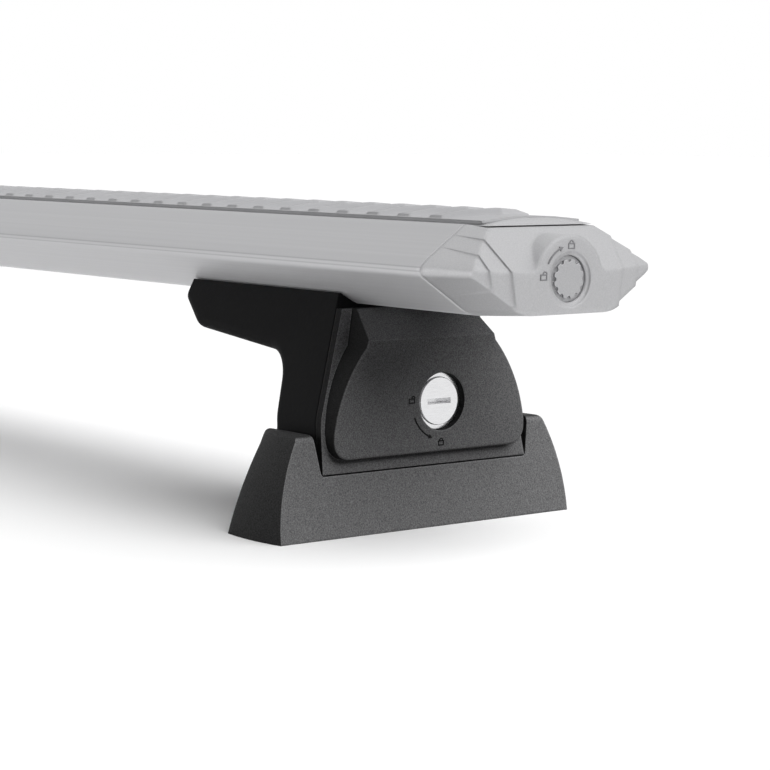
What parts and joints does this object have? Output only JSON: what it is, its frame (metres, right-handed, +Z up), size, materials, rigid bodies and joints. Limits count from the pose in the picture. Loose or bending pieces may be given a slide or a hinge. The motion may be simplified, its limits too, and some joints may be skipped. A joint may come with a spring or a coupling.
{
  "type": "tonneau rack",
  "caption": "Aero crossbar rack on two pedestal legs with locking covers, a ribbed rubber top strip and turn-lock end caps, bolted through its feet to a track or cover frame.",
  "frame": {"origin": "middle of the rack, on the plane that the feet stand on", "axes": "+X along the bar, +Y across it, +Z up from the mounting plane"},
  "size_m": [1.26, 0.1232, 0.1049],
  "materials": {
    "bar": "satin anodised",
    "strip": "matte grey rubber",
    "cap": "fine-grained moulded grey",
    "dial": "fine-grained moulded grey",
    "latch": "moulded black",
    "casting": "satin black powder coat",
    "shroud": "grained moulded black",
    "cover": "grained moulded black",
    "pad_rubber": "matte black rubber",
    "lock_metal": "satin plated",
    "clamp_steel": "zinc plated"
  },
  "bodies": {
    "bar": {"crossbar": "bar", "top_strip": "strip"},
    "leg_right": {"leg_casting_right": "casting", "cradle_pad_right": "pad_rubber", "clamp_plate_right": "clamp_steel", "clamp_bolts_right": "clamp_steel", "clamp_washers_right": "clamp_steel", "foot_shroud_right": "shroud", "foot_pad_right": "pad_rubber"},
    "cover_right": {"outer_cover_right": "cover", "lock_housing_right": "lock_metal"},
    "lock_right": {"lock_core_right": "lock_metal", "lock_cam_right": "clamp_steel", "cam_screw_right": "clamp_steel"},
    "cap_right": {"end_cap_right": "cap"},
    "dial_right": {"cap_dial_right": "dial", "cap_latch_right": "latch", "latch_screw_right": "clamp_steel"},
    "leg_left": {"leg_casting_left": "casting", "cradle_pad_left": "pad_rubber", "clamp_plate_left": "clamp_steel", "clamp_bolts_left": "clamp_steel", "clamp_washers_left": "clamp_steel", "foot_shroud_left": "shroud", "foot_pad_left": "pad_rubber"},
    "cover_left": {"outer_cover_left": "cover", "lock_housing_left": "lock_metal"},
    "lock_left": {"lock_core_left": "lock_metal", "lock_cam_left": "clamp_steel", "cam_screw_left": "clamp_steel"},
    "cap_left": {"end_cap_left": "cap"},
    "dial_left": {"cap_dial_left": "dial", "cap_latch_left": "latch", "latch_screw_left": "clamp_steel"}
  },
  "joints": [
    {"name": "leg_slide_right", "type": "slide", "parent": "bar", "child": "leg_right", "axis": [1, 0, 0], "range_m": [-0.25, 0.02]},
    {"name": "cover_pull_right", "type": "slide", "parent": "leg_right", "child": "cover_right", "axis": [1, 0, 0], "range_m": [0, 0.045]},
    {"name": "lock_turn_right", "type": "hinge", "parent": "cover_right", "child": "lock_right", "pos_m": [0.5637, 0.0039, 0.0411], "axis": [1, 0, 0], "range_deg": [0, 90]},
    {"name": "cap_pull_right", "type": "slide", "parent": "bar", "child": "cap_right", "axis": [1, 0, 0], "range_m": [0, 0.04]},
    {"name": "dial_turn_right", "type": "hinge", "parent": "cap_right", "child": "dial_right", "pos_m": [0.6251, 0, 0.0846], "axis": [-1, 0, 0], "range_deg": [0, 90]},
    {"name": "leg_slide_left", "type": "slide", "parent": "bar", "child": "leg_left", "axis": [-1, 0, 0], "range_m": [-0.25, 0.02]},
    {"name": "cover_pull_left", "type": "slide", "parent": "leg_left", "child": "cover_left", "axis": [-1, 0, 0], "range_m": [0, 0.045]},
    {"name": "lock_turn_left", "type": "hinge", "parent": "cover_left", "child": "lock_left", "pos_m": [-0.5637, -0.0039, 0.0411], "axis": [-1, 0, 0], "range_deg": [0, 90]},
    {"name": "cap_pull_left", "type": "slide", "parent": "bar", "child": "cap_left", "axis": [-1, 0, 0], "range_m": [0, 0.04]},
    {"name": "dial_turn_left", "type": "hinge", "parent": "cap_left", "child": "dial_left", "pos_m": [-0.6251, 0, 0.0846], "axis": [1, 0, 0], "range_deg": [0, 90]}
  ]
}
